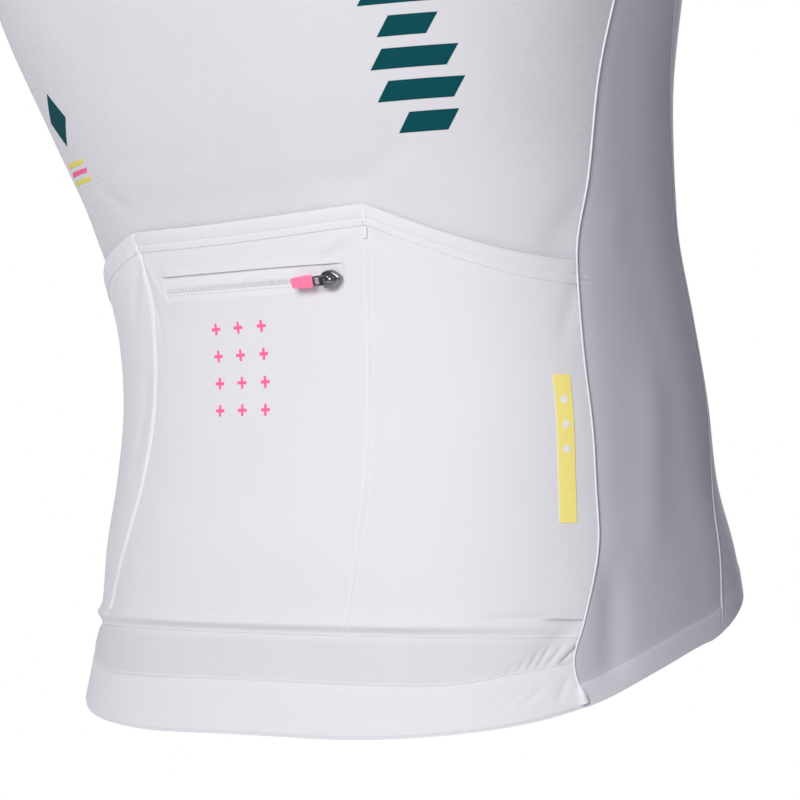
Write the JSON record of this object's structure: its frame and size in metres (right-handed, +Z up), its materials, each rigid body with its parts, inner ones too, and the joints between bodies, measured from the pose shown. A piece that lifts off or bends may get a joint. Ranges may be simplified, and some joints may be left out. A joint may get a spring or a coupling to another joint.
{
  "type": "cycling jersey",
  "caption": "Close-fitting short-sleeved jersey for cycling, worn shape, with pockets over the lower back, a dropped tail, a stand collar and a full front zip.",
  "frame": {"origin": "middle of the neck, level with the shoulder seams at the neck, where the wearer's shoulders hold the garment", "axes": "+Z up, -Y the front of the garment, +X the wearer's left"},
  "size_m": [0.7427, 0.2824, 0.6963],
  "materials": {
    "rib_knit": "matt",
    "smooth_knit": "matt",
    "side_knit": "matt",
    "gripper_band": "matt",
    "reflective_film": "satin",
    "zip_tape": "matt",
    "zip_coil": "satin",
    "slider_metal": "dark polished",
    "pink_rubber": "satin",
    "white_rubber": "satin"
  },
  "bodies": {
    "jersey": {"back_panel": "rib_knit", "hem_band": "gripper_band", "pocket_left": "smooth_knit", "pocket_centre": "smooth_knit", "pocket_right": "smooth_knit", "pocket_binding_left": "smooth_knit", "pocket_binding_centre": "smooth_knit", "pocket_binding_right": "smooth_knit", "reflective_strip": "reflective_film", "pocket_zip_tape": "zip_tape", "pocket_zip_coil": "zip_coil", "pocket_zip_lip": "smooth_knit", "side_panel_left": "side_knit", "side_panel_right": "side_knit", "front_left": "smooth_knit", "front_right": "smooth_knit", "collar": "rib_knit", "zip_tape_left": "zip_tape", "zip_tape_right": "zip_tape", "zip_coil": "zip_coil", "pocket_zip_slider": "slider_metal", "zip_slider": "slider_metal", "sleeve_left": "rib_knit", "sleeve_right": "rib_knit", "cuff_left": "gripper_band", "cuff_right": "gripper_band"},
    "pocket_pull": {"pocket_zip_pull": "slider_metal", "pocket_zip_tab": "pink_rubber"},
    "front_pull": {"zip_pull": "slider_metal", "zip_tab": "white_rubber"}
  },
  "joints": [
    {"name": "pocket_pull_swing", "type": "hinge", "parent": "jersey", "child": "pocket_pull", "pos_m": [-0.0819, 0.08313, -0.43438], "axis": [0.0323, 0.1901, 0.9812], "range_deg": [0, 150]},
    {"name": "front_pull_swing", "type": "hinge", "parent": "jersey", "child": "front_pull", "pos_m": [0.00089, -0.06682, -0.02571], "axis": [-0.9994, 0, 0.0339], "range_deg": [0, 150]}
  ]
}
